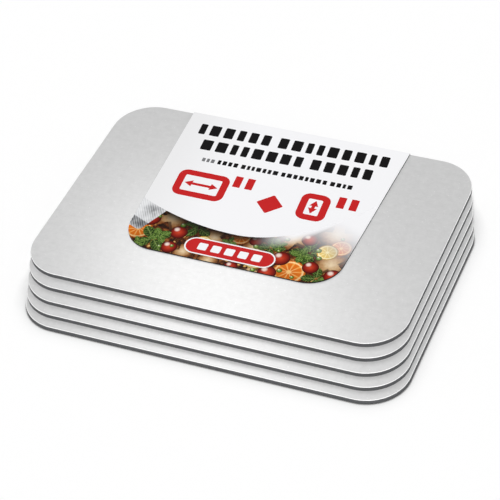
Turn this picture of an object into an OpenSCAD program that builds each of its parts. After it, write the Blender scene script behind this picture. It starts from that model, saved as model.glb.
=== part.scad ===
// Pack of flat foil-faced board lids with a label card on the top one.
// X runs along the lids, +Y to the back, +Z up. The origin is the middle of the stack's
// footprint, on the surface that it rests on.

/* [Lids] */
// Length of a lid, left to right
lid_length = 330.2; // [200:0.1:450]
// Width of a lid, front to back
lid_width = 228.6; // [140:0.1:320]
// Thickness of a lid: foil, board and paper liner together
lid_thickness = 4; // [2:0.1:6]
// Radius of a lid's corners, seen from above
corner_radius = 35.3; // [15:0.1:60]
// Radius of the upper arris, where the foil turns down over the cut edge
arris_radius = 0.6; // [0.2:0.1:1.2]

/* [Fan of the stack] */
// Direction in which the lower lids are drawn out, from straight forward towards the right
slide_angle = 19; // [0:0.1:45]
// How far the second lid is drawn out from under the top one
slide_2 = 11.9; // [0:0.1:25]
// How far the third lid is drawn out from under the second
slide_3 = 12.4; // [0:0.1:25]
// How far the fourth lid is drawn out from under the third
slide_4 = 11.1; // [0:0.1:25]
// How far the bottom lid is drawn out from under the fourth
slide_5 = 10; // [0:0.1:25]

/* [Label card] */
// Width of the card at the lid's back edge
card_back_width = 202.6; // [150:0.1:240]
// Width of the card at its front, measured between the sides as if its corners were sharp
card_front_width = 187.8; // [150:0.1:240]
// Length of the card, from the lid's back edge to its front
card_length = 177.8; // [90:0.1:220]
// Radius of the card's two front corners
card_corner_radius = 28.7; // [5:0.1:60]
// Thickness of the card
card_thickness = 1.3; // [0.4:0.1:2]
// How far the card lies to the right of the lid's middle
card_shift = -0.7; // [-10:0.1:10]

/* [Hidden] */
$fn = 96;
foil_colour = "#D9DADB";
card_colour = "#F7F8FA";

// Straight stretches of a lid's outline, between its corners
straight_x = lid_length - 2 * corner_radius;
straight_y = lid_width - 2 * corner_radius;

// How far each lid is drawn out from under the one above, from the top lid down
slides = [0, slide_2, slide_3, slide_4, slide_5];
lid_count = len(slides);
forward = [sin(slide_angle), -cos(slide_angle)];

// How far a lid lies in front of the top one
function drawn_out(i) = i == 0 ? 0 : drawn_out(i - 1) + slides[i];

// Centre of a lid's underside; half of the whole fan lies on each side of the origin
function lid_place(i) =
    let (out = drawn_out(i) - drawn_out(lid_count - 1) / 2)
    [out * forward.x, out * forward.y, (lid_count - 1 - i) * lid_thickness];

// Each side of the card leans in by this angle towards the front
card_taper = atan((card_back_width - card_front_width) / 2 / card_length);

// Section of a lid from a corner's axis out to the edge: square below, rounded above
module edge_section() {
    difference() {
        square([corner_radius, lid_thickness]);
        translate([corner_radius - arris_radius, lid_thickness - arris_radius])
            difference() {
                square(2 * arris_radius);
                circle(arris_radius);
            }
    }
}

// One straight side of a lid: the edge section drawn along it, outwards from the line x = 0
module straight_side(run) {
    rotate([90, 0, 0])
        linear_extrude(height = run, center = true)
            edge_section();
}

// A whole lid on the plane z = 0: the middle field, four straight sides and four turned corners
module board() {
    translate([-straight_x / 2, -straight_y / 2, 0])
        cube([straight_x, straight_y, lid_thickness]);
    for (side = [-1, 1]) {
        rotate([0, 0, 90 - 90 * side])
            translate([straight_x / 2, 0, 0])
                straight_side(straight_y);
        rotate([0, 0, 90 * side])
            translate([straight_y / 2, 0, 0])
                straight_side(straight_x);
    }
    for (quarter = [0 : 3]) {
        x_sign = quarter == 0 || quarter == 3 ? 1 : -1;
        y_sign = quarter < 2 ? 1 : -1;
        translate([x_sign * straight_x / 2, y_sign * straight_y / 2, 0])
            rotate([0, 0, 90 * quarter])
                rotate_extrude(angle = 90)
                    edge_section();
    }
}

// One lid in its place in the stack, counted from 0 at the top
module lid(i) {
    color(foil_colour)
        translate(lid_place(i))
            board();
}

module lid_1() { lid(0); }
module lid_2() { lid(1); }
module lid_3() { lid(2); }
module lid_4() { lid(3); }
module lid_5() { lid(4); }

// Section of the card from a corner's axis out to the edge
module card_section() {
    square([card_corner_radius, card_thickness]);
}

// Right half of the card on the plane z = 0, with its back edge on the line y = 0: a straight
// middle, a leaning side, and the front corner turned about its own axis. The corner is turned
// from its front end and from its side end, so that it meets the front edge and the side exactly.
module half_card() {
    arc_x = card_front_width / 2 + card_corner_radius * (tan(card_taper) - 1 / cos(card_taper));
    arc_y = card_corner_radius - card_length;
    translate([0, -card_length, 0])
        cube([arc_x, card_length, card_thickness]);
    translate([arc_x, arc_y, 0])
        rotate([0, 0, -90])
            rotate_extrude(angle = 60)
                card_section();
    intersection() {
        translate([arc_x, arc_y, 0])
            rotate([0, 0, -card_taper]) {
                mirror([0, 1, 0])
                    rotate_extrude(angle = 60)
                        card_section();
                translate([-card_corner_radius / 2, 0, 0])
                    cube([1.5 * card_corner_radius, card_length, card_thickness]);
            }
        translate([0, -card_length, 0])
            cube([card_back_width, card_length, card_thickness]);
    }
}

// The printed card, flat on the top lid with its back edge in line with the lid's
module label_card() {
    top_lid = lid_place(0);
    color(card_colour)
        translate([
            top_lid.x + card_shift,
            top_lid.y + lid_width / 2,
            top_lid.z + lid_thickness
        ])
            for (side = [0, 1])
                mirror([side, 0, 0])
                    half_card();
}

lid_1();
lid_2();
lid_3();
lid_4();
lid_5();
label_card();
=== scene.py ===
"""Looks of a pack of foil-faced board lids with a printed label card, and the studio it lies in."""
import math
import random

import bmesh
import bpy
from mathutils import Matrix, Vector


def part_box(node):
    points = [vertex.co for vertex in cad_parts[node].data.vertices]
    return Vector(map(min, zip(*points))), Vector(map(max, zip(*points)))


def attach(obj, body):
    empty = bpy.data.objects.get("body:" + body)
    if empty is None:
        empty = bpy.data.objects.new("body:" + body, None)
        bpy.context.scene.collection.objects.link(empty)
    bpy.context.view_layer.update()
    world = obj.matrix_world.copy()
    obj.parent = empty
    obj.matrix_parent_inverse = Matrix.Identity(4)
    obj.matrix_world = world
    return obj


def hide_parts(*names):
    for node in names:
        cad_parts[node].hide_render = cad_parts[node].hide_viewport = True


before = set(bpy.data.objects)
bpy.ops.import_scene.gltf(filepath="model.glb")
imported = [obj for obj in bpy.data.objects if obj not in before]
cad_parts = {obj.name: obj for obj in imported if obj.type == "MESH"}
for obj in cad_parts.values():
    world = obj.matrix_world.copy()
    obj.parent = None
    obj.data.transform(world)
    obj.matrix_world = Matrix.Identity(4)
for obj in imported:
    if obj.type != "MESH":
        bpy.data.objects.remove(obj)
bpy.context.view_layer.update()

bl_info = {
    "name": "Foil board lid pack",
    "version": (1, 0, 0),
    "blender": (4, 5, 0),
    "location": "3D View > Sidebar > Lid pack",
    "description": "Finishes the packed lids, makes their printed label card and sets up the studio",
    "category": "Object",
}

MM = 0.001
BODY = "root"
LIDS = ["lid_1", "lid_2", "lid_3", "lid_4", "lid_5"]
card_low, card_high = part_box("label_card")
top_lid_low, top_lid_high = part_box("lid_1")

# The card's own measure: millimetres from the middle of its back edge, on its upper face
CARD_ORIGIN = Vector(((card_low.x + card_high.x) / 2, card_high.y, card_high.z))
CARD_PLACE = Matrix.Translation(CARD_ORIGIN) @ Matrix.Scale(MM, 4)

# The card lies within this reach of its middle line
CARD_REACH = 104
# White areas and inks are printed this unevenly
PLAIN_UNEVENNESS, RED_UNEVENNESS = 0.01, 0.06
# The white field's lower edge is a bow: its lowest point on the card, and how flat each half is
LOWEST_X, LOWEST_Y = -4, -141
LEFT_FLATNESS, RIGHT_FLATNESS = 400, 150
# Towards the left the white field is tinted, fully at the first place and not at all at the second
TINT_FULL, TINT_NONE = -104, -30

# The picture is dark just under the white field: how far down, by what share at most, the colour
UNDER_FIELD_REACH, UNDER_FIELD_SHARE = 17, 0.95
UNDER_FIELD_COLOUR = "#070303"
# From left to right, that shade comes in and goes out between these places, and the haze that
# whitens the picture's upper right comes in. Upwards, the haze comes in between two sloped lines.
SHADE_IN, SHADE_OUT, HAZE_IN = (-84, -66), (14, 40), (12, 46)
HAZE_SLOPE, HAZE_LINES = 0.35, (-130, -70)
# The picture's ground reaches back under the white field to here
GROUND_BACK = -60
# Random motifs lie between these sides of the picture, and this far behind the white field's edge
SCATTER_LEFT, SCATTER_RIGHT, SCATTER_FRONT, SCATTER_BEHIND = -94, 92, -177, 12

# The linen in the picture's corner: its middle, size, corner radius and turn in degrees
LINEN_X, LINEN_Y, LINEN_WIDTH, LINEN_HEIGHT, LINEN_RADIUS, LINEN_TURN = -104, -123, 66, 50, 4, -24
# Its darker border fades out between these two lines along its lower edge
BORDER_DARK, BORDER_PALE = -185.5, -184

# Printed shapes lean back a little, in degrees
PRINT_LEAN = -4

# Layers of the print, counted in ink steps up from the plain card. Each film of the picture has
# one layer to itself, because the tops of two films at one height would share a face.
STOCK, GROUND, FIELD, TOP = 0, 1, 12, 13

# The camera looks at this point of the top lid, in millimetres to the right and front of its middle
AIM_RIGHT, AIM_FRONT = 13.74, 39.28

# Half of the table top's side in metres, and its gap below the pack in millimetres
HALF_TABLE, TABLE_GAP = 6, 0.02
# The table adds this much light of its own, so that the camera sees it plain white
TABLE_GLOW = 0.055
# The lamps, in metres and degrees. The sheen on the foil is centred on one point, and the strip that
# makes it hangs where the camera sees it mirrored there.
SUN_PLACE = Vector((0.12, -0.3, 1.3))
SUN_ANGLE = 20
SHEEN_CENTRE = Vector((0.062, -0.225, 0.02))
STRIP_WIDTH, STRIP_HEIGHT, STRIP_AWAY, STRIP_SPREAD = 0.19, 0.34, 0.45, 110

# Settings that many nodes share
ADD, SUBTRACT, MULTIPLY, MULTIPLY_ADD, MAXIMUM, ABSOLUTE, SINE, SCALE = (
    {"operation": name} for name in (
        "ADD", "SUBTRACT", "MULTIPLY", "MULTIPLY_ADD", "MAXIMUM", "ABSOLUTE", "SINE", "SCALE"))
# A Mix node for colours, with its inputs and output by number
COLOURS = {"data_type": "RGBA"}
MIX_FACTOR, MIX_A, MIX_B, MIX_RESULT = 0, 6, 7, 2


def linear(hex_colour):
    """An sRGB hex colour such as #C1332D as linear red, green, blue and alpha."""
    digits = hex_colour.lstrip("#")
    values = [int(digits[i:i + 2], 16) / 255 for i in (0, 2, 4)]
    return (*(v / 12.92 if v <= 0.04045 else ((v + 0.055) / 1.055) ** 2.4 for v in values), 1.0)


def colour_property(name, description, hex_colour):
    """A colour that a user may change, given by its sRGB hex value."""
    return bpy.props.FloatVectorProperty(
        name=name, description=description, subtype="COLOR", size=4, min=0, max=1,
        default=linear(hex_colour))


def length_property(name, description, millimetres):
    """A length that a user may change, given in millimetres and kept in metres."""
    return bpy.props.FloatProperty(
        name=name, description=description, unit="LENGTH", precision=5, min=0,
        default=millimetres * MM)


class LidLook(bpy.types.PropertyGroup):
    """Finish of the lids."""
    foil: colour_property("Foil", "Satin face of the aluminium foil", "#C5C5C5")
    # Painted highlight: the foil's near-white colour where it bends down over the arris
    bend: colour_property("Bend", "Foil burnished where it turns down", "#FCFCFC")
    board: colour_property("Board", "Cut edge of the dark grey board", "#6A6B6D")
    liner: colour_property("Liner", "Paper on the underside of the board", "#E9E8E4")
    foil_roughness: bpy.props.FloatProperty(
        name="Foil roughness", description="How much the foil's face blurs what it mirrors",
        subtype="FACTOR", min=0, max=1, default=0.48)
    # Bare foil is wholly metallic, and this satin one, matched to the photo, is mostly matt
    foil_metallic: bpy.props.FloatProperty(
        name="Foil metallic", description="Share of the light that the foil mirrors, the rest is matt",
        subtype="FACTOR", min=0, max=1, default=0.15)
    turned_down: length_property("Foil turned down", "How far the foil comes down the edge", 0.3)
    liner_thickness: length_property("Liner thickness", "Pale line at the foot of the edge", 0.06)
    grain_pitch: length_property("Grain pitch", "Spacing of the rolling lines, drawn coarse", 0.9)


class CardLook(bpy.types.PropertyGroup):
    """Print of the label card."""
    stock: colour_property("Stock", "White coated card", "#F6F6F8")
    # Painted shadow: the card's cut sides are near black, as a shadow line along its edge
    cut_edge_shadow: colour_property("Cut edge", "Cut sides of the card", "#1E1F20")
    tint: colour_property("Tint", "Pale grey tint on the left of the white field", "#ECECED")
    black: colour_property("Black ink", "Headings", "#131213")
    grey: colour_property("Grey ink", "First part of the small line", "#77787A")
    red: colour_property("Red ink", "Size marks and badge", "#C42526")
    ink_step: length_property("Ink step", "How far one printed layer stands over the next", 0.02)


class StageLook(bpy.types.PropertyGroup):
    """Camera, lamps and floor."""
    azimuth: bpy.props.FloatProperty(
        name="Azimuth", description="How far the camera stands to the right of straight in front",
        subtype="ANGLE", default=math.radians(26.105))
    elevation: bpy.props.FloatProperty(
        name="Elevation", description="How far the camera looks down",
        subtype="ANGLE", default=math.radians(42.152))
    roll: bpy.props.FloatProperty(
        name="Roll", description="How far the camera is turned about its own axis",
        subtype="ANGLE", default=math.radians(-6.1))
    distance: length_property("Distance", "From the camera to the point that it looks at", 1600.4)
    lens: bpy.props.FloatProperty(
        name="Lens", description="Focal length on a 36 mm sensor, in millimetres", default=140.37)
    soft_light: bpy.props.FloatProperty(
        name="Soft light", description="Brightness of the room as matt surfaces receive it",
        min=0, default=0.22)
    sun: bpy.props.FloatProperty(
        name="Sun", description="Strength of the soft sun overhead", min=0, default=2.5)
    strip: bpy.props.FloatProperty(
        name="Strip", description="Watts of the strip that the foil mirrors", min=0, default=0.52)


class PackLook(bpy.types.PropertyGroup):
    """Everything on the pack that a user would change."""
    lid: bpy.props.PointerProperty(type=LidLook)
    card: bpy.props.PointerProperty(type=CardLook)
    stage: bpy.props.PointerProperty(type=StageLook)


def add_node(tree, kind, settings=None, links=None, stops=None):
    """Adds a shader node, whose kind is its Blender type after the word ShaderNode. Links map an
    input to a value, to one output, or to another node, which stands for its first output. Stops
    fill a colour ramp with pairs of place and hex colour."""
    made = tree.nodes.new("ShaderNode" + kind)
    for name, value in (settings or {}).items():
        setattr(made, name, value)
    for name, value in (links or {}).items():
        if isinstance(value, bpy.types.Node):
            value = value.outputs[0]
        if isinstance(value, bpy.types.NodeSocket):
            tree.links.new(value, made.inputs[name])
        else:
            made.inputs[name].default_value = value
    if stops:
        ramp = made.color_ramp.elements
        while len(ramp) < len(stops):
            ramp.new(1.0)
        for element, (place, colour) in zip(ramp, stops):
            element.position = place
            element.color = linear(colour)
    return made


def new_material(name):
    """A material with an empty tree, and the tree."""
    material = bpy.data.materials.new(name)
    material.use_nodes = True
    material.node_tree.nodes.clear()
    return material, material.node_tree


def close_material(tree, surface):
    """Ends a material's tree with its output."""
    add_node(tree, "OutputMaterial", links={"Surface": surface})


def foil_faced_board(name, number, low, high, look):
    """Aluminium foil laminated on dark grey board with a paper liner, die cut: a satin face with
    faint rolling lines, a turned-down arris with a painted highlight, then the fibrous cut edge and a
    pale foot."""
    material, tree = new_material(name)
    centre = (low + high) / 2
    thickness = (high.z - low.z) / MM
    # Millimetres from the middle of the lid's upper face
    place = add_node(
        tree, "Mapping",
        links={
            "Vector": add_node(tree, "TexCoord").outputs["Object"],
            "Location": (-centre.x / MM, -centre.y / MM, -high.z / MM),
            "Scale": (1 / MM, 1 / MM, 1 / MM)})
    depth = add_node(tree, "SeparateXYZ", links={"Vector": place}).outputs["Z"]
    # Each lid is cut from another stretch of the sheet, so no two show the same marks
    place = add_node(tree, "VectorMath", ADD, {0: place, 1: (0, 400 * number, 0)})

    # Rolling lines run along the lid, about 60 mm long
    pitch = look.grain_pitch / MM
    lines = add_node(
        tree, "TexNoise",
        links={
            "Vector": add_node(
                tree, "VectorMath", MULTIPLY, {0: place, 1: (1 / 60, 1 / pitch, 1 / pitch)}),
            "Scale": 1.0, "Detail": 2.0})
    # Cloudy mottling of the lamination, from 6 mm across down to a fine grain
    clouds = add_node(
        tree, "TexNoise", links={"Vector": place, "Scale": 1 / 6, "Detail": 6.0, "Roughness": 0.78})
    # Bright pinpoint specks, 0.7 mm wide and about 5 mm apart
    cells = add_node(tree, "TexVoronoi", links={"Vector": place, "Scale": 1 / 5})
    specks = add_node(
        tree, "MapRange",
        links={"Value": cells, "From Min": 0.04, "From Max": 0.1, "To Min": 1.0, "To Max": 0.0})
    # Tone of the foil where it has no mark, and what each kind of mark adds to it
    tone = 0.797
    for marks, share in ((clouds, 0.32), (lines, 0.08), (specks, 0.25)):
        tone = add_node(tree, "Math", MULTIPLY_ADD, {0: marks, 1: share, 2: tone})
    foil = add_node(tree, "VectorMath", SCALE, {0: look.foil[:3], "Scale": tone})

    # Painted highlight: the foil is painted near white where it bends down over the arris
    bend_highlight_share = add_node(tree, "MapRange", links={"Value": depth, "From Min": -0.003, "From Max": -0.02})
    foil = add_node(
        tree, "Mix", COLOURS, {MIX_FACTOR: bend_highlight_share, MIX_A: foil, MIX_B: look.bend}).outputs[MIX_RESULT]

    # Fibres of the cut board lie in thin layers
    fibres = add_node(
        tree, "TexNoise",
        links={
            "Vector": add_node(tree, "VectorMath", MULTIPLY, {0: place, 1: (1 / 3, 1 / 3, 1 / 0.35)}),
            "Scale": 1.0, "Detail": 4.0, "Roughness": 0.6})
    board = add_node(
        tree, "VectorMath", SCALE,
        {0: look.board[:3],
         "Scale": add_node(tree, "Math", MULTIPLY_ADD, {0: fibres, 1: 0.9, 2: 0.55})})

    # The foil ends in a slightly uneven line below the arris, and the liner starts at the foot
    wander = add_node(tree, "TexNoise", links={"Vector": place, "Scale": 1 / 2.5, "Detail": 3.0})
    fold = add_node(tree, "Math", MULTIPLY_ADD, {0: wander, 1: 0.25, 2: depth})
    turned_down = look.turned_down / MM
    is_foil = add_node(
        tree, "MapRange",
        links={"Value": fold, "From Min": -turned_down + 0.08, "From Max": -turned_down + 0.16})
    foot = -thickness + look.liner_thickness / MM
    is_liner = add_node(
        tree, "MapRange",
        links={"Value": depth, "From Min": foot - 0.03, "From Max": foot + 0.03,
               "To Min": 1.0, "To Max": 0.0})

    core = add_node(
        tree, "Mix", COLOURS, {MIX_FACTOR: is_liner, MIX_A: board, MIX_B: look.liner}).outputs[MIX_RESULT]
    colour = add_node(
        tree, "Mix", COLOURS, {MIX_FACTOR: is_foil, MIX_A: core, MIX_B: foil}).outputs[MIX_RESULT]
    foil_roughness = add_node(
        tree, "Math", MULTIPLY_ADD, {0: clouds, 1: 0.06, 2: look.foil_roughness - 0.03})
    roughness = add_node(tree, "Mix", links={0: is_foil, 2: 0.88, 3: foil_roughness})

    # Height in hundredths of a millimetre: rolling lines and clouds on the foil, fibres on the edge
    foil_height = add_node(
        tree, "Math", MULTIPLY_ADD,
        {0: clouds, 1: 2.0, 2: add_node(tree, "Math", MULTIPLY, {0: lines, 1: 0.3})})
    height = add_node(
        tree, "Mix",
        links={0: is_foil, 2: add_node(tree, "Math", MULTIPLY, {0: fibres, 1: 12.0}), 3: foil_height})
    bump = add_node(tree, "Bump", links={"Height": height, "Distance": 0.01 * MM, "Strength": 1.0})
    metallic = add_node(tree, "Math", MULTIPLY, {0: is_foil, 1: look.foil_metallic})
    close_material(tree, add_node(
        tree, "BsdfPrincipled",
        links={"Base Color": colour, "Metallic": metallic, "Roughness": roughness,
               "Specular IOR Level": 0.3, "Normal": bump}))
    return material


def card_millimetres(tree):
    """The card's own measure in a material, from the middle of its back edge."""
    return add_node(
        tree, "Mapping",
        links={
            "Vector": add_node(tree, "TexCoord").outputs["Object"],
            "Location": tuple(-CARD_ORIGIN / MM),
            "Scale": (1 / MM, 1 / MM, 1 / MM)})


def print_on_card(name, paint):
    """Ink on coated card, offset printed: paint(tree, place) gives its colour, and the coating has
    a fine tooth of fibre under a low satin shine, so dark inks stay dark."""
    material, tree = new_material(name)
    place = card_millimetres(tree)
    fibres = add_node(tree, "TexNoise", links={"Vector": place, "Scale": 1 / 0.8, "Detail": 3.0})
    bump = add_node(tree, "Bump", links={"Height": fibres, "Distance": 0.012 * MM, "Strength": 0.5})
    close_material(tree, add_node(
        tree, "BsdfPrincipled",
        links={"Base Color": paint(tree, place), "Roughness": 0.5,
               "Specular IOR Level": 0.02, "Normal": bump}))
    return material


def shadowed_card_side(look):
    """The card's cut side, painted near black as a shadow line round the white card, with grey fibres in
    thin layers.
    """
    name = "card_side_painted_shadow"
    if name in bpy.data.materials:
        return bpy.data.materials[name]
    material, tree = new_material(name)
    fibres = add_node(
        tree, "TexNoise",
        links={
            "Vector": add_node(
                tree, "VectorMath", MULTIPLY, {0: card_millimetres(tree), 1: (1 / 2, 1 / 2, 1 / 0.2)}),
            "Scale": 1.0, "Detail": 3.0})
    grey = add_node(
        tree, "VectorMath", SCALE,
        {0: look.cut_edge_shadow[:3],
         "Scale": add_node(tree, "Math", MULTIPLY_ADD, {0: fibres, 1: 0.5, 2: 0.75})})
    close_material(tree, add_node(
        tree, "BsdfPrincipled",
        links={"Base Color": grey, "Roughness": 0.9, "Specular IOR Level": 0.2}))
    return material


def solid_ink(colour, unevenness=0.08):
    """A full-tone ink for print_on_card, a little uneven as it soaks in."""
    def paint(tree, place):
        soak = add_node(tree, "TexNoise", links={"Vector": place, "Scale": 1 / 4, "Detail": 4.0})
        return add_node(
            tree, "VectorMath", SCALE,
            {0: colour[:3],
             "Scale": add_node(
                 tree, "Math", MULTIPLY_ADD,
                 {0: soak, 1: unevenness, 2: 1 - unevenness / 2})})
    return paint


def white_field(look):
    """The coated white of the card with its pale grey tint towards the left."""
    def paint(tree, place):
        along = add_node(tree, "SeparateXYZ", links={"Vector": place}).outputs["X"]
        share = stepped(tree, (along, TINT_FULL, TINT_NONE, 1.0, 0.0))
        return add_node(
            tree, "Mix", COLOURS,
            {MIX_FACTOR: share, MIX_A: look.stock, MIX_B: look.tint}).outputs[MIX_RESULT]
    return paint


def stepped(tree, *steps):
    """The product of smooth steps. Each has its value, where it starts and stops, and what the
    step is worth there."""
    product = 1.0
    for value, start, stop, first, last in steps:
        step = add_node(
            tree, "MapRange", {"interpolation_type": "SMOOTHSTEP"},
            {"Value": value, "From Min": start, "From Max": stop, "To Min": first, "To Max": last})
        product = add_node(tree, "Math", MULTIPLY, {0: product, 1: step})
    return product


def faded(tree, place, colour, white):
    """The picture's colour, shaded just below the white field as if that lay over it, and faded to
    the card's white towards its upper right."""
    apart = add_node(tree, "SeparateXYZ", links={"Vector": place})
    along = apart.outputs["X"]
    # Millimetres below the white field's lower edge
    from_lowest = add_node(tree, "Math", SUBTRACT, {0: along, 1: LOWEST_X})
    bow = 0.0
    for keep, flatness in (("MINIMUM", LEFT_FLATNESS), ("MAXIMUM", RIGHT_FLATNESS)):
        half = add_node(tree, "Math", {"operation": keep}, {0: from_lowest, 1: 0.0})
        steep = add_node(tree, "Math", MULTIPLY, {0: half, 1: 1 / flatness})
        bow = add_node(tree, "Math", MULTIPLY_ADD, {0: half, 1: steep, 2: bow})
    up = add_node(tree, "Math", SUBTRACT, {0: apart.outputs["Y"], 1: LOWEST_Y})
    below = add_node(tree, "Math", SUBTRACT, {0: bow, 1: up})
    shade = stepped(
        tree, (below, 0.0, UNDER_FIELD_REACH, UNDER_FIELD_SHARE, 0.0), (along, *SHADE_IN, 0.0, 1.0),
        (along, *SHADE_OUT, 1.0, 0.0))
    colour = add_node(
        tree, "Mix", COLOURS,
        {MIX_FACTOR: shade, MIX_A: colour, MIX_B: linear(UNDER_FIELD_COLOUR)}).outputs[MIX_RESULT]
    # How far up the card, level along lines that slope down to the right
    leaned = add_node(tree, "Math", MULTIPLY_ADD, {0: along, 1: HAZE_SLOPE, 2: apart.outputs["Y"]})
    to_right = (along, *HAZE_IN, 0.0, 1.0)
    share = add_node(
        tree, "Math", MAXIMUM,
        {0: stepped(tree, (leaned, *HAZE_LINES, 0.0, 1.0), to_right),
         1: stepped(tree, (below, 0.0, UNDER_FIELD_REACH, 1.0, 0.0), to_right)})
    return add_node(
        tree, "Mix", COLOURS, {MIX_FACTOR: share, MIX_A: colour, MIX_B: white}).outputs[MIX_RESULT]


def from_middle(tree):
    """A point's place on a printed motif, from -1 to 1 each way."""
    return add_node(
        tree, "VectorMath", MULTIPLY_ADD,
        {0: add_node(tree, "UVMap", {"uv_map": "motif"}), 1: (2, 2, 0), 2: (-1, -1, 0)})


def spot(tree, point, x, y, radius, strength):
    """The share of a soft round spot on a motif, which starts to fade at 0.3 of its radius."""
    away = add_node(
        tree, "VectorMath", {"operation": "DISTANCE"}, {0: point, 1: (x, y, 0)}).outputs["Value"]
    return stepped(tree, (away, 0.3 * radius, radius, strength, 0.0))


def round_motif(look, stops, chambers=0, chamber_colour="#FFFFFF", shine=0.0, grain=0.2):
    """A round piece for print_on_card: rings of colour from its middle out, with the chambers of
    a sliced fruit or the shine of a whole one."""
    def paint(tree, place):
        point = from_middle(tree)
        xyz = add_node(tree, "SeparateXYZ", links={"Vector": point})
        out = add_node(tree, "VectorMath", {"operation": "LENGTH"}, {0: point}).outputs["Value"]
        noise = add_node(
            tree, "TexNoise", links={"Vector": place, "Scale": 1 / 1.6, "Detail": 5.0, "Roughness": 0.65})
        ring = add_node(tree, "Math", SUBTRACT, {0: out, 1: grain / 2})
        ring = add_node(tree, "Math", MULTIPLY_ADD, {0: noise, 1: grain, 2: ring})
        colour = add_node(tree, "ValToRGB", links={"Fac": ring}, stops=stops)
        if chambers:
            # Chambers lie side by side round the middle, in a band between the core and the rind.
            # They are whole up to one distance from the band's middle, and gone at the other.
            band, whole, gone = 0.46, 0.26, 0.34
            turn = add_node(
                tree, "Math", {"operation": "ARCTAN2"}, {0: xyz.outputs["Y"], 1: xyz.outputs["X"]})
            wave = add_node(tree, "Math", MULTIPLY, {0: turn, 1: chambers})
            wave = add_node(tree, "Math", SINE, {0: wave})
            off_band = add_node(tree, "Math", SUBTRACT, {0: out, 1: band})
            off_band = add_node(tree, "Math", ABSOLUTE, {0: off_band})
            inside = stepped(
                tree, (wave, -0.95, -0.3, 0.0, 1.0), (off_band, whole, gone, 1.0, 0.0))
            colour = add_node(
                tree, "Mix", COLOURS,
                {MIX_FACTOR: inside, MIX_A: colour, MIX_B: linear(chamber_colour)}).outputs[MIX_RESULT]
        # Printed light falls on each piece from the upper left
        light = add_node(tree, "Math", SUBTRACT, {0: xyz.outputs["Y"], 1: xyz.outputs["X"]})
        light = add_node(tree, "Math", MULTIPLY_ADD, {0: light, 1: 0.22, 2: 1.0})
        lit = add_node(tree, "VectorMath", SCALE, {0: colour, "Scale": light})
        if shine:
            lit = add_node(
                tree, "Mix", COLOURS,
                {MIX_FACTOR: spot(tree, point, x=-0.38, y=0.4, radius=0.42, strength=shine),
                 MIX_A: lit, MIX_B: linear("#FFF3E6")}).outputs[MIX_RESULT]
        return faded(tree, place, lit, look.stock)
    return paint


def mushroom_motif(look):
    """A halved mushroom for print_on_card: pale flesh, a browned skin and dark gills by the stem."""
    def paint(tree, place):
        point = from_middle(tree)
        xyz = add_node(tree, "SeparateXYZ", links={"Vector": point})
        out = add_node(tree, "VectorMath", {"operation": "LENGTH"}, {0: point}).outputs["Value"]
        noise = add_node(
            tree, "TexNoise", links={"Vector": place, "Scale": 1 / 2.5, "Detail": 6.0, "Roughness": 0.6})
        skin = add_node(tree, "Math", SUBTRACT, {0: out, 1: 0.25})
        skin = add_node(tree, "Math", MULTIPLY_ADD, {0: noise, 1: 0.5, 2: skin})
        flesh = add_node(
            tree, "ValToRGB", links={"Fac": skin},
            stops=[(0.0, "#E6D0AC"), (0.42, "#C49E70"), (0.7, "#8E5B31"),
                   (0.9, "#4A2A15"), (1.0, "#22120A")])
        # Gills lie beside the stem, on a line a quarter of the way down from the middle
        height = add_node(tree, "Math", ADD, {0: xyz.outputs["Y"], 1: 0.24})
        height = add_node(tree, "Math", ABSOLUTE, {0: height})
        beside = add_node(tree, "Math", ABSOLUTE, {0: xyz.outputs["X"]})
        near = add_node(
            tree, "MapRange",
            links={"Value": height, "From Min": 0.06, "From Max": 0.14, "To Min": 0.85,
                   "To Max": 0.0})
        off_stem = add_node(tree, "MapRange", links={"Value": beside, "From Min": 0.24, "From Max": 0.34})
        gills = add_node(tree, "Math", MULTIPLY, {0: near, 1: off_stem})
        colour = add_node(
            tree, "Mix", COLOURS,
            {MIX_FACTOR: gills, MIX_A: flesh, MIX_B: linear("#3E2517")}).outputs[MIX_RESULT]
        return faded(tree, place, colour, look.stock)
    return paint


def leaf_motif(look, dark, middle, light):
    """A herb leaf for print_on_card: a pale midrib, side veins and a mottled blade."""
    def paint(tree, place):
        xyz = add_node(tree, "SeparateXYZ", links={"Vector": from_middle(tree)})
        across = add_node(tree, "Math", ABSOLUTE, {0: xyz.outputs["Y"]})
        slant = add_node(tree, "Math", MULTIPLY_ADD, {0: across, 1: -0.55, 2: xyz.outputs["X"]})
        vein = add_node(tree, "Math", MULTIPLY, {0: slant, 1: 17.0})
        vein = add_node(tree, "Math", SINE, {0: vein})
        noise = add_node(
            tree, "TexNoise", links={"Vector": place, "Scale": 1 / 1.8, "Detail": 4.0, "Roughness": 0.6})
        shade = add_node(tree, "Math", MULTIPLY_ADD, {0: vein, 1: 0.1, 2: noise})
        green = add_node(
            tree, "ValToRGB", links={"Fac": shade}, stops=[(0.32, dark), (0.5, middle), (0.7, light)])
        rib = add_node(
            tree, "MapRange",
            links={"Value": across, "From Min": 0.04, "From Max": 0.14, "To Min": 0.5, "To Max": 0.0})
        colour = add_node(
            tree, "Mix", COLOURS,
            {MIX_FACTOR: rib, MIX_A: green, MIX_B: linear("#8FA45C")}).outputs[MIX_RESULT]
        return faded(tree, place, colour, look.stock)
    return paint


def picture_ground(look):
    """The dark glaze under the motifs, browned here and there, with a pale cloth at the left."""
    def paint(tree, place):
        noise = add_node(
            tree, "TexNoise", links={"Vector": place, "Scale": 1 / 7, "Detail": 8.0, "Roughness": 0.72})
        glaze = add_node(
            tree, "ValToRGB", links={"Fac": noise},
            stops=[(0.34, "#0F0805"), (0.47, "#2A140B"), (0.55, "#6B3717"),
                   (0.63, "#A56B38"), (0.73, "#DDBE8C")])
        return faded(tree, place, glaze, look.stock)
    return paint


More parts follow.
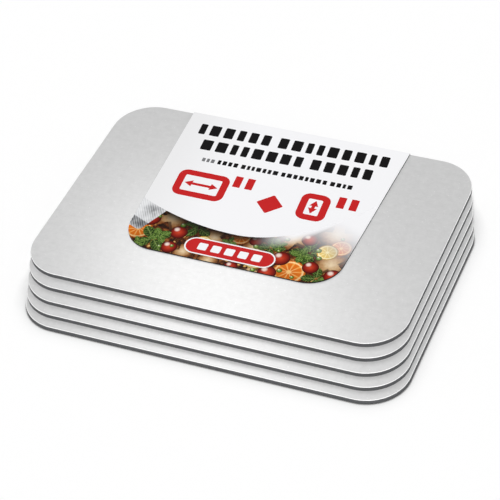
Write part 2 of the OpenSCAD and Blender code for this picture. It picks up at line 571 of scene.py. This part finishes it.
def striped_cloth(look):
    """Folded grey linen for print_on_card: fine stripes and soft folds."""
    def paint(tree, place):
        apart = add_node(tree, "SeparateXYZ", links={"Vector": place})
        along = add_node(
            tree, "Math", MULTIPLY_ADD, {0: apart.outputs["Y"], 1: 0.6, 2: apart.outputs["X"]})
        # One stripe in 2.2 mm
        stripe = add_node(tree, "Math", MULTIPLY, {0: along, 1: math.tau / 2.2})
        stripe = add_node(tree, "Math", SINE, {0: stripe})
        folds = add_node(tree, "TexNoise", links={"Vector": place, "Scale": 1 / 14, "Detail": 2.0})
        shade = add_node(tree, "Math", MULTIPLY_ADD, {0: stripe, 1: 0.08, 2: folds})
        # A darker woven border along the lower edge, where the stripes stand out more
        across = add_node(
            tree, "Math", MULTIPLY_ADD,
            {0: apart.outputs["X"], 1: math.tan(math.radians(-LINEN_TURN)), 2: apart.outputs["Y"]})
        in_border = stepped(tree, (across, BORDER_DARK, BORDER_PALE, 0.24, 0.0))
        shade = add_node(tree, "Math", SUBTRACT, {0: shade, 1: in_border})
        return add_node(
            tree, "ValToRGB", links={"Fac": shade},
            stops=[(0.16, "#55575A"), (0.32, "#9A9B9D"), (0.5, "#D2D3D5"),
                   (0.7, "#EAEBEC")])
    return paint


def add_object(name, shape, materials):
    """Makes a bmesh an object of the scene, and frees it."""
    mesh = bpy.data.meshes.new(name)
    shape.to_mesh(mesh)
    shape.free()
    for material in materials:
        mesh.materials.append(material)
    made = bpy.data.objects.new(name, mesh)
    bpy.context.scene.collection.objects.link(made)
    return made


def card_piece(name, shape, materials):
    """Turns a closed bmesh in the card's own measure into a piece of the card that rides on the
    pack."""
    mark_cut(shape)
    bmesh.ops.transform(shape, matrix=CARD_PLACE, verts=shape.verts)
    if any(not edge.is_manifold for edge in shape.edges):
        raise RuntimeError(name + " is not closed")
    bmesh.ops.recalc_face_normals(shape, faces=shape.faces)
    piece = add_object(name, shape, materials)
    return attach(piece, BODY)


def card_copy():
    """The label card's CAD mesh, merged, in the card's own measure."""
    shape = bmesh.new()
    shape.from_mesh(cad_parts["label_card"].data)
    bmesh.ops.transform(shape, matrix=CARD_PLACE.inverted(), verts=shape.verts)
    bmesh.ops.remove_doubles(shape, verts=shape.verts, dist=0.001)
    bmesh.ops.dissolve_limit(
        shape, angle_limit=math.radians(0.5), verts=shape.verts, edges=shape.edges)
    return shape


def card_face():
    """The card's upper face alone, flat, in its own measure."""
    shape = card_copy()
    others = [f for f in shape.faces if f.normal.z < 0.5]
    bmesh.ops.delete(shape, geom=others, context="FACES")
    return shape


def card_sides():
    """A point and the outward direction of each side face of the card."""
    whole = card_copy()
    sides = [(f.calc_center_median(), f.normal.copy()) for f in whole.faces if abs(f.normal.z) < 0.5]
    whole.free()
    return sides


def cut(shape, point, outward, clear=True):
    """Cuts a shape with a plane, and clears what lies on its outward side."""
    bmesh.ops.bisect_plane(
        shape, geom=[*shape.verts, *shape.edges, *shape.faces], dist=1e-5,
        plane_co=point, plane_no=outward, clear_outer=clear)


def round_off(shape, corners, radius, segments):
    """Rounds corners of a flat shape."""
    bmesh.ops.bevel(
        shape, geom=corners, offset=radius, affect="VERTICES", segments=segments, profile=0.5,
        material=-1)


def trim_to_card(shape):
    """Cuts flat printed shapes off at the card's outline."""
    for point, normal in card_sides():
        cut(shape, (point.x, point.y, 0), normal)


def mark_cut(shape):
    """Gives the faces that lie on the card's outline the second material, its cut side painted dark as a
    shadow line.
    """
    shape.normal_update()
    sides = card_sides()
    for face in shape.faces:
        centre = face.calc_center_median()
        for point, normal in sides:
            if face.normal.dot(normal) > 0.9999 and abs((centre - point).dot(normal)) < 0.01:
                face.material_index = 1


def keep_above(shape, curve, start, stop, steps):
    """Cuts flat shapes off below a curve that bulges down, along its tangents."""
    width = (stop - start) / steps
    aside = 0.01
    for i in range(steps + 1):
        x = start + i * width
        slope = (curve(x + aside) - curve(x - aside)) / (2 * aside)
        cut(shape, (x, curve(x), 0), (slope, -1, 0))


def add_flat(target, shape, x, y, turn=0.0, lean=0.0):
    """Puts a flat shape into a film at a place on the card, turned and leaned, and frees it."""
    shear = Matrix.Identity(4)
    shear[0][1] = math.tan(math.radians(lean))
    place = Matrix.Translation((x, y, 0)) @ Matrix.Rotation(math.radians(turn), 4, "Z") @ shear
    bmesh.ops.transform(shape, matrix=place, verts=shape.verts)
    held = bpy.data.meshes.new("held")
    shape.to_mesh(held)
    shape.free()
    target.from_mesh(held)
    bpy.data.meshes.remove(held)


def flat_block(width, height, radius=0.0):
    """A flat rounded rectangle."""
    shape = bmesh.new()
    bmesh.ops.create_grid(shape, x_segments=1, y_segments=1, size=0.5)
    bmesh.ops.scale(shape, vec=(width, height, 1), verts=shape.verts)
    if radius:
        round_off(shape, shape.verts, radius, 6)
    return shape


def flat_frame(width, height, radius, stroke):
    """The outline of a flat rounded rectangle, one stroke wide."""
    shape = flat_block(width, height, radius)
    bmesh.ops.inset_region(shape, faces=shape.faces, thickness=stroke, use_boundary=True)
    inner = min(shape.faces, key=lambda f: f.calc_center_median().length_squared)
    bmesh.ops.delete(shape, geom=[inner], context="FACES")
    return shape


def flat_polygon(sides, radius, corner_radius=0.0):
    """A flat regular polygon with one corner on +X, or a disc where it has many sides."""
    shape = bmesh.new()
    bmesh.ops.create_circle(shape, cap_ends=True, segments=sides, radius=radius)
    bmesh.ops.rotate(shape, matrix=Matrix.Rotation(math.radians(-90), 3, "Z"), verts=shape.verts)
    if corner_radius:
        round_off(shape, shape.verts, corner_radius, 3)
    return shape


def flat_leaf(length, width):
    """A flat pointed leaf, its tip on +X: two arcs of a circle that meet at the ends."""
    radius = (length ** 2 / 4 + width ** 2 / 4) / width
    shape = bmesh.new()
    bmesh.ops.create_circle(shape, cap_ends=True, segments=72, radius=radius)
    bmesh.ops.translate(shape, vec=(0, width / 2 - radius, 0), verts=shape.verts)
    cut(shape, (0, 0, 0), (0, -1, 0))
    bmesh.ops.mirror(
        shape, geom=[*shape.verts, *shape.edges, *shape.faces], axis="Y", merge_dist=0.001)
    return shape


def flat_mushroom(radius):
    """A flat halved mushroom: a domed cap, and a stem drawn out of its straight foot."""
    foot, half_stem, stem, rounding = (radius * share for share in (-0.3, 0.26, 0.55, 0.14))
    shape = bmesh.new()
    bmesh.ops.create_circle(shape, cap_ends=True, segments=40, radius=radius)
    cut(shape, (0, foot, 0), (0, -1, 0))
    for x in (-half_stem, half_stem):
        cut(shape, (x, 0, 0), (1, 0, 0), clear=False)
    under_stem = [
        e for e in shape.edges
        if all(abs(v.co.y - foot) < 0.01 and abs(v.co.x) < half_stem + 0.01 for v in e.verts)]
    drawn = bmesh.ops.extrude_edge_only(shape, edges=under_stem)["geom"]
    ends = [item for item in drawn if isinstance(item, bmesh.types.BMVert)]
    bmesh.ops.translate(shape, vec=(0, -stem, 0), verts=ends)
    round_off(shape, ends, rounding, 3)
    return shape


def with_motif_map(shape):
    """Lays a UV map over a flat motif, from corner to corner of its box, and gives it back."""
    across = max(abs(v.co.x) for v in shape.verts)
    along = max(abs(v.co.y) for v in shape.verts)
    layer = shape.loops.layers.uv.new("motif")
    for face in shape.faces:
        for loop in face.loops:
            loop[layer].uv = (0.5 + loop.vert.co.x / across / 2, 0.5 + loop.vert.co.y / along / 2)
    return shape


def disc(radius):
    """A round motif."""
    return with_motif_map(flat_polygon(40, radius))


def ball(radius):
    """A whole round fruit. It isn't turned, so that the printed light is on the same side of each."""
    return disc(radius)


def bean(radius):
    """A small oval motif."""
    shape = flat_polygon(16, radius)
    bmesh.ops.scale(shape, vec=(1, 0.7, 1), verts=shape.verts)
    return with_motif_map(shape)


def mushroom(radius):
    """A halved mushroom motif."""
    return with_motif_map(flat_mushroom(radius))


def sprig(radius):
    """Four broad herb leaves round a middle, apart from one another."""
    shape = bmesh.new()
    length, gap = 0.93 * radius, 0.07 * radius
    out = gap + length / 2
    for turn in (0, 90, 180, 270):
        leaf = with_motif_map(flat_leaf(length, 0.66 * length))
        angle = math.radians(turn)
        add_flat(shape, leaf, out * math.cos(angle), out * math.sin(angle), turn=turn)
    return shape


def add_motifs(target, make, places, turns):
    """Puts motifs of given place and radius into a film, each turned at random. Two that touch
    would share a face in the print, so that is an error."""
    for i, (x, y, radius) in enumerate(places):
        for other_x, other_y, other_radius in places[:i]:
            if math.hypot(x - other_x, y - other_y) < radius + other_radius:
                raise RuntimeError(f"motifs at {x:.0f}, {y:.0f} and {other_x:.0f}, {other_y:.0f} touch")
        add_flat(target, make(radius), x, y, turn=0 if make is ball else turns.uniform(0, 360))


def scattered(count, small, large, chance):
    """Random places and radii over the picture field, each clear of the others."""
    places = []
    for _ in range(20 * count):
        x = chance.uniform(SCATTER_LEFT, SCATTER_RIGHT)
        radius = chance.uniform(small, large)
        y = chance.uniform(SCATTER_FRONT, lower_edge(x) + SCATTER_BEHIND)
        if all(math.hypot(x - a, y - b) > radius + c for a, b, c in places):
            places.append((x, y, radius))
        if len(places) == count:
            return places
    raise RuntimeError("the picture field has no room for so many")


def film(name, shape, bottom, top, ink):
    """Makes flat shapes a printed film of closed slabs between two layers, and a piece of the card."""
    look = bpy.context.scene.pack_look.card
    step = look.ink_step / MM
    bmesh.ops.translate(shape, vec=(0, 0, (bottom - TOP) * step), verts=shape.verts)
    for face in shape.faces:
        if face.normal.z < 0:
            face.normal_flip()
    raised = bmesh.ops.extrude_face_region(shape, geom=[*shape.faces], use_keep_orig=True)
    upper = [item for item in raised["geom"] if isinstance(item, bmesh.types.BMVert)]
    bmesh.ops.translate(shape, vec=(0, 0, (top - bottom) * step), verts=upper)
    bmesh.ops.recalc_face_normals(shape, faces=shape.faces)
    return card_piece(name, shape, [ink, shadowed_card_side(look)])


def lower_edge(x):
    """The white field's lower edge: a bow that is flat on the left and steeper on the right."""
    from_lowest = x - LOWEST_X
    flatness = LEFT_FLATNESS if from_lowest < 0 else RIGHT_FLATNESS
    return LOWEST_Y + from_lowest ** 2 / flatness


class PACK_OT_stage(bpy.types.Operator):
    """Sets up the floor, the room's light, the lamps and the camera"""
    bl_idname = "pack.stage"
    bl_label = "Set up studio"

    def execute(self, context):
        look = context.scene.pack_look.stage
        context.scene.view_settings.view_transform = "Standard"
        self.add_room(context, look)
        self.add_floor()
        self.add_lamps(context, look)
        self.add_camera(context, look)
        return {"FINISHED"}

    def seen_share(self, tree):
        """1 for camera, glossy and transmission rays, which see the backdrop, and 0 for others."""
        path = add_node(tree, "LightPath")
        share = path.outputs["Is Camera Ray"]
        for ray in ("Is Glossy Ray", "Is Transmission Ray"):
            share = add_node(tree, "Math", MAXIMUM, {0: share, 1: path.outputs[ray]})
        return share

    def add_room(self, context, look):
        """White all round, with less light for matt surfaces, which the lamps light as well."""
        world = bpy.data.worlds.new("white_room")
        context.scene.world = world
        world.use_nodes = True
        tree = world.node_tree
        tree.nodes.clear()
        strength = add_node(
            tree, "MapRange",
            links={"Value": self.seen_share(tree), "To Min": look.soft_light, "To Max": 1.0})
        background = add_node(
            tree, "Background", links={"Color": linear("#FFFFFF"), "Strength": strength})
        add_node(tree, "OutputWorld", links={"Surface": background})

    def add_floor(self):
        """White lacquered table: matt, and bright enough to the camera to be plain white."""
        material, tree = new_material("white_table")
        # The pack's contact shadow, which so bright a room would wash out: a wide soft one, and a
        # dark line at the foot. Each has its reach in millimetres, how open the spot is where the
        # shadow is darkest, and its darkest and lightest tone.
        shade = 1.0
        for reach, closed, darkest, lightest in ((14, 0.0, 0.4, 0.95), (1.6, 0.5, 0.02, 1.0)):
            near = add_node(
                tree, "AmbientOcclusion", {"samples": 8}, {"Distance": reach * MM}).outputs["AO"]
            tone = add_node(
                tree, "MapRange",
                links={"Value": near, "From Min": closed, "To Min": darkest, "To Max": lightest})
            shade = add_node(tree, "Math", MULTIPLY, {0: shade, 1: tone})
        matt = add_node(tree, "BsdfDiffuse", links={"Color": shade})
        glow = add_node(
            tree, "Emission",
            links={
                "Strength": add_node(
                    tree, "Math", MULTIPLY, {0: self.seen_share(tree), 1: TABLE_GLOW})})
        close_material(tree, add_node(tree, "AddShader", links={0: matt, 1: glow}))
        shape = bmesh.new()
        bmesh.ops.create_grid(shape, x_segments=1, y_segments=1, size=HALF_TABLE)
        bmesh.ops.translate(shape, vec=(0, 0, -TABLE_GAP * MM), verts=shape.verts)
        add_object("table_top", shape, [material])

    def add_lamps(self, context, look):
        """A soft sun nearly overhead, a little to the front, and a strip behind the pack that only
        shiny surfaces show, as a sheen on the foil."""
        sun = bpy.data.lights.new("sun", "SUN")
        sun.energy = look.sun
        sun.angle = math.radians(SUN_ANGLE)
        self.hang(context, sun, SUN_PLACE, Vector((0, 0, 0)))
        strip = bpy.data.lights.new("strip", "AREA")
        strip.shape = "RECTANGLE"
        strip.size = STRIP_WIDTH
        strip.size_y = STRIP_HEIGHT
        strip.spread = math.radians(STRIP_SPREAD)
        strip.energy = look.strip
        mirrored = self.towards_camera(look) * Vector((-1, -1, 1))
        item = self.hang(context, strip, SHEEN_CENTRE + STRIP_AWAY * mirrored, SHEEN_CENTRE)
        item.visible_diffuse = False
        item.visible_camera = False

    def towards_camera(self, look):
        """The direction from the pack to the camera."""
        return Vector((
            math.sin(look.azimuth) * math.cos(look.elevation),
            -math.cos(look.azimuth) * math.cos(look.elevation),
            math.sin(look.elevation)))

    def hang(self, context, lamp, place, aim):
        """Puts a lamp at a place, facing a point."""
        item = bpy.data.objects.new(lamp.name, lamp)
        item.location = place
        item.rotation_euler = (aim - place).to_track_quat("-Z", "Y").to_euler()
        context.scene.collection.objects.link(item)
        return item

    def add_camera(self, context, look):
        """Looks at a point on the top lid from the front right, down and a little rolled."""
        target = Vector((
            (top_lid_low.x + top_lid_high.x) / 2 + AIM_RIGHT * MM,
            (top_lid_low.y + top_lid_high.y) / 2 - AIM_FRONT * MM,
            top_lid_high.z))
        back = self.towards_camera(look)
        level = back.cross(Vector((0, 0, 1))).normalized() * -1
        upright = level.cross(-back)
        right = level * math.cos(look.roll) + upright * math.sin(look.roll)
        up = upright * math.cos(look.roll) - level * math.sin(look.roll)
        camera = bpy.data.cameras.new("camera")
        camera.sensor_width = 36
        camera.lens = look.lens
        camera.clip_start = 0.05
        camera.clip_end = 50
        item = bpy.data.objects.new("camera", camera)
        axes = Matrix((right, up, back)).transposed().to_4x4()
        item.matrix_world = Matrix.Translation(target + back * look.distance) @ axes
        context.scene.collection.objects.link(item)
        context.scene.camera = item


class PACK_OT_lids(bpy.types.Operator):
    """Gives each lid its foil face, turned-down arris, cut board edge and paper liner"""
    bl_idname = "pack.lids"
    bl_label = "Finish lids"

    def execute(self, context):
        look = context.scene.pack_look.lid
        for number, name in enumerate(LIDS):
            low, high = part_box(name)
            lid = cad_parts[name]
            lid.data.materials.clear()
            lid.data.materials.append(
                foil_faced_board("foil_faced_board_" + name, number, low, high, look))
        return {"FINISHED"}


class PACK_OT_card(bpy.types.Operator):
    """Makes the label card and its white printed field in place of the plain CAD card"""
    bl_idname = "pack.card"
    bl_label = "Make label card"

    def execute(self, context):
        look = context.scene.pack_look.card
        shape = card_copy()
        upper = [v for v in shape.verts if v.co.z > -0.01]
        bmesh.ops.translate(shape, vec=(0, 0, (STOCK - TOP) * look.ink_step / MM), verts=upper)
        stock = print_on_card("coated_card", solid_ink(look.stock, PLAIN_UNEVENNESS))
        card = card_piece("card_stock", shape, [stock, shadowed_card_side(look)])
        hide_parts("label_card")
        field = card_face()
        keep_above(field, lower_edge, -CARD_REACH, CARD_REACH, 40)
        film("white_field", field, STOCK, FIELD, print_on_card("white_coating", white_field(look)))
        return {"FINISHED"}


class PACK_OT_picture(bpy.types.Operator):
    """Prints the picture field: a dark glaze with mushrooms, fruit, herbs, peas and seeds"""
    bl_idname = "pack.picture"
    bl_label = "Print picture field"

    def execute(self, context):
        look = context.scene.pack_look.card
        ground = card_face()
        cut(ground, (0, GROUND_BACK, 0), (0, 1, 0))
        film("picture_ground", ground, STOCK, GROUND,
             print_on_card("picture_glaze", picture_ground(look)))
        turns = random.Random(7)
        layer = GROUND
        for name, make, paint, places in self.kinds(look):
            shape = bmesh.new()
            add_motifs(shape, make, places, turns)
            trim_to_card(shape)
            film(name, shape, layer, layer + 1, print_on_card(name, paint))
            layer += 1
        cloth = bmesh.new()
        linen = flat_block(LINEN_WIDTH, LINEN_HEIGHT, LINEN_RADIUS)
        add_flat(cloth, linen, LINEN_X, LINEN_Y, turn=LINEN_TURN)
        trim_to_card(cloth)
        film("linen_print", cloth, layer, layer + 1, print_on_card("linen_print", striped_cloth(look)))
        return {"FINISHED"}

    def kinds(self, look):
        """The motifs from the bottom layer up: name, flat shape, paint, and places with radii."""
        chance = random.Random(3)
        return [
            ("seed_print", bean,
             round_motif(look, [(0.0, "#EBCB8E"), (0.6, "#C08F47"), (1.0, "#5E3816")]),
             scattered(150, 1.2, 2.6, chance)),
            ("mushroom_print", mushroom, mushroom_motif(look),
             [(-62, -136, 16), (-19, -149, 12), (18, -151, 12), (45, -131, 17), (78, -116, 17),
              (85, -152, 16), (-38, -172, 10), (-14, -177, 10), (25, -179, 12)]),
            ("orange_print", disc,
             round_motif(look, [(0.0, "#EFC585"), (0.7, "#DE9238"), (0.84, "#EBCB93"),
                                (0.9, "#D0701A"), (1.0, "#7E3A0A")], 10, "#CF6A1C"),
             [(-85, -157, 12), (55, -170, 14), (2, -142, 9), (86, -131, 9)]),
            ("herb_print", sprig, leaf_motif(look, "#141F0B", "#33491B", "#66813A"),
             [(-68, -165, 17), (-36, -142, 14), (30, -147, 13), (63, -144, 17), (79, -171, 13)]),
            ("tomato_print", ball,
             round_motif(look, [(0.0, "#C8452A"), (0.5, "#9E2615"), (0.85, "#64110A"),
                                (1.0, "#2E0705")], shine=0.75, grain=0.12),
             [(-80, -142, 9), (-50, -152, 7.5), (-51, -171, 7), (43, -157, 8), (70, -160, 7),
              (7, -178, 6), (38, -176, 8), (16, -143, 6), (91, -165, 8), (58, -129, 7)]),
            ("lemon_print", disc,
             round_motif(look, [(0.0, "#F2E6B4"), (0.7, "#E6CD7A"), (0.84, "#F0E4BC"),
                                (0.9, "#D2A93A"), (1.0, "#8C6A1A")], 9, "#D9B954"),
             [(-90, -134, 7), (77, -139, 9), (24, -166, 9), (-26, -158, 8)]),
            ("herb_tips_print", sprig, leaf_motif(look, "#24380F", "#49682A", "#86A24C"),
             [(-64, -160, 10), (-41, -138, 8), (35, -142, 8), (58, -148, 10), (-5, -151, 7),
              (84, -175, 7), (-78, -172, 7)]),
            ("pea_print", ball,
             round_motif(look, [(0.0, "#A9C267"), (0.5, "#688A34"), (1.0, "#2A4115")], shine=0.7),
             scattered(20, 1.7, 2.8, chance)),
        ]


class PACK_OT_headings(bpy.types.Operator):
    """Prints rows of plain blocks where a heading and a small line stand"""
    bl_idname = "pack.headings"
    bl_label = "Print headings"

    def execute(self, context):
        look = context.scene.pack_look.card
        black = print_on_card("black_ink", solid_ink(look.black))
        grey = print_on_card("grey_ink", solid_ink(look.grey))
        heading = bmesh.new()
        self.add_row(
            heading, left=-87, right=88, middle=-18.6, height=13.8, turn=0.9, words=[6, 9], seed=1)
        self.add_row(
            heading, left=-77, right=79.5, middle=-38.4, height=13.4, turn=0.9, words=[8, 5], seed=2)
        film("heading_blocks", heading, FIELD, TOP, black)
        line = bmesh.new()
        self.add_row(
            line, left=-54, right=69, middle=-57.8, height=5.4, turn=0.5, words=[4, 7, 8, 4], seed=3)
        film("line_blocks", line, FIELD, TOP, black)
        start = bmesh.new()
        self.add_row(
            start, left=-68.5, right=-57, middle=-58.7, height=4.6, turn=0.5, words=[3], seed=4)
        film("line_start_blocks", start, FIELD, TOP, grey)
        return {"FINISHED"}

    def add_row(self, shape, left, right, middle, height, turn, words, seed):
        """Groups of blocks of differing widths that fill a row from left to right. The row's
        middle is at this place up the card, and the row is turned a little about it."""
        chance = random.Random(seed)
        gap = 0.3 * height
        between = 0.6 * height
        widths = [[chance.uniform(0.7, 1.25) for _ in range(count)] for count in words]
        gaps = sum(count - 1 for count in words) * gap + (len(words) - 1) * between
        unit = (right - left - gaps) / sum(sum(word) for word in widths)
        x = left
        for word in widths:
            for share in word:
                width = share * unit
                off = x + (width - left - right) / 2
                add_flat(
                    shape, flat_block(width, height, 0.08 * height), x + width / 2,
                    middle + off * math.tan(math.radians(turn)), turn=turn, lean=PRINT_LEAN)
                x += width + gap
            x += between - gap


class PACK_OT_size_marks(bpy.types.Operator):
    """Prints the large red size marks: two outlined lids with arrows for length and width"""
    bl_idname = "pack.size_marks"
    bl_label = "Print size marks"

    def execute(self, context):
        look = context.scene.pack_look.card
        shape = bmesh.new()
        self.add_lid_mark(shape, x=-56, y=-91, width=47, height=33, turn=0)
        self.add_ticks(shape, x=-21.5, y=-78)
        add_flat(shape, flat_polygon(4, 12, 1.2), x=9.5, y=-97)
        self.add_lid_mark(shape, x=46, y=-90, width=26, height=33, turn=90)
        self.add_ticks(shape, x=72.5, y=-78)
        red = print_on_card("red_ink", solid_ink(look.red, RED_UNEVENNESS))
        film("size_marks", shape, FIELD, TOP, red)
        return {"FINISHED"}

    def add_lid_mark(self, shape, x, y, width, height, turn):
        """A lid's outline with a double arrow in it, along its length or across it."""
        radius, stroke, head, gap, shaft_width = 8, 6.6, 4.6, 1.6, 3
        add_flat(shape, flat_frame(width, height, radius, stroke), x, y, lean=PRINT_LEAN)
        reach = (height if turn else width) / 2 - stroke - gap
        along = Vector((math.cos(math.radians(turn)), math.sin(math.radians(turn))))
        # A triangle's flat side is half its radius behind its middle, and the shaft just clears it
        shaft = 2 * (reach - 1.5 * head) - 0.02
        add_flat(shape, flat_block(shaft, shaft_width), x, y, turn=turn)
        for way in (-1, 1):
            middle = along * way * (reach - head)
            add_flat(shape, flat_polygon(3, head), x + middle.x, y + middle.y,
                     turn=turn + (way < 0) * 180)

    def add_ticks(self, shape, x, y):
        """Two leaning bars."""
        width, height, radius, pitch = 6.8, 14, 0.5, 11.2
        for side in (-1, 1):
            bar = flat_block(width, height, radius)
            add_flat(shape, bar, x + side * pitch / 2, y, lean=PRINT_LEAN)


class PACK_OT_badge(bpy.types.Operator):
    """Prints the red badge with its white rim and a plain white block for each lid"""
    bl_idname = "pack.badge"
    bl_label = "Print badge"

    def execute(self, context):
        look = context.scene.pack_look.card
        y, width, height, rim = -162.5, 80, 19.5, 1.3
        white = solid_ink(look.stock, PLAIN_UNEVENNESS)
        red = solid_ink(look.red, RED_UNEVENNESS)
        self.add_pill("badge_rim", y, width, height, TOP - 3, print_on_card("badge_white", white))
        self.add_pill("badge_fill", y, width - 2 * rim, height - 2 * rim, TOP - 2,
                      print_on_card("badge_red", red))
        blocks = bmesh.new()
        block_width, block_height, block_radius, pitch = 8, 8.2, 1.2, 12
        for i in range(len(LIDS)):
            block = flat_block(block_width, block_height, block_radius)
            add_flat(blocks, block, (i - (len(LIDS) - 1) / 2) * pitch, y)
        film("badge_blocks", blocks, TOP - 1, TOP, print_on_card("badge_block_white", white))
        return {"FINISHED"}

    def add_pill(self, name, y, width, height, layer, ink):
        """A film with one block whose ends are round, on the card's middle line."""
        shape = bmesh.new()
        add_flat(shape, flat_block(width, height, height / 2 - 0.01), 0, y)
        film(name, shape, layer, layer + 1, ink)


STEPS = [PACK_OT_stage, PACK_OT_lids, PACK_OT_card, PACK_OT_picture, PACK_OT_headings,
         PACK_OT_size_marks, PACK_OT_badge]


class VIEW3D_PT_lid_pack(bpy.types.Panel):
    """Lists the steps that dress the pack, and what a user would change"""
    bl_idname = "VIEW3D_PT_lid_pack"
    bl_label = "Lid pack"
    bl_space_type = "VIEW_3D"
    bl_region_type = "UI"
    bl_category = "Lid pack"

    def draw(self, context):
        for step in STEPS:
            self.layout.operator(step.bl_idname)
        look = context.scene.pack_look
        for group in (look.lid, look.card, look.stage):
            box = self.layout.box()
            for name in group.__annotations__:
                box.prop(group, name)


CLASSES = [LidLook, CardLook, StageLook, PackLook, *STEPS, VIEW3D_PT_lid_pack]


def register():
    for item in CLASSES:
        bpy.utils.register_class(item)
    bpy.types.Scene.pack_look = bpy.props.PointerProperty(type=PackLook)


def unregister():
    del bpy.types.Scene.pack_look
    for item in reversed(CLASSES):
        bpy.utils.unregister_class(item)


def main():
    """Dresses the pack from its frame."""
    register()
    bpy.ops.pack.stage()
    bpy.ops.pack.lids()
    bpy.ops.pack.card()
    bpy.ops.pack.picture()
    bpy.ops.pack.headings()
    bpy.ops.pack.size_marks()
    bpy.ops.pack.badge()
    bpy.context.view_layer.update()


if __name__ == "__main__":
    main()
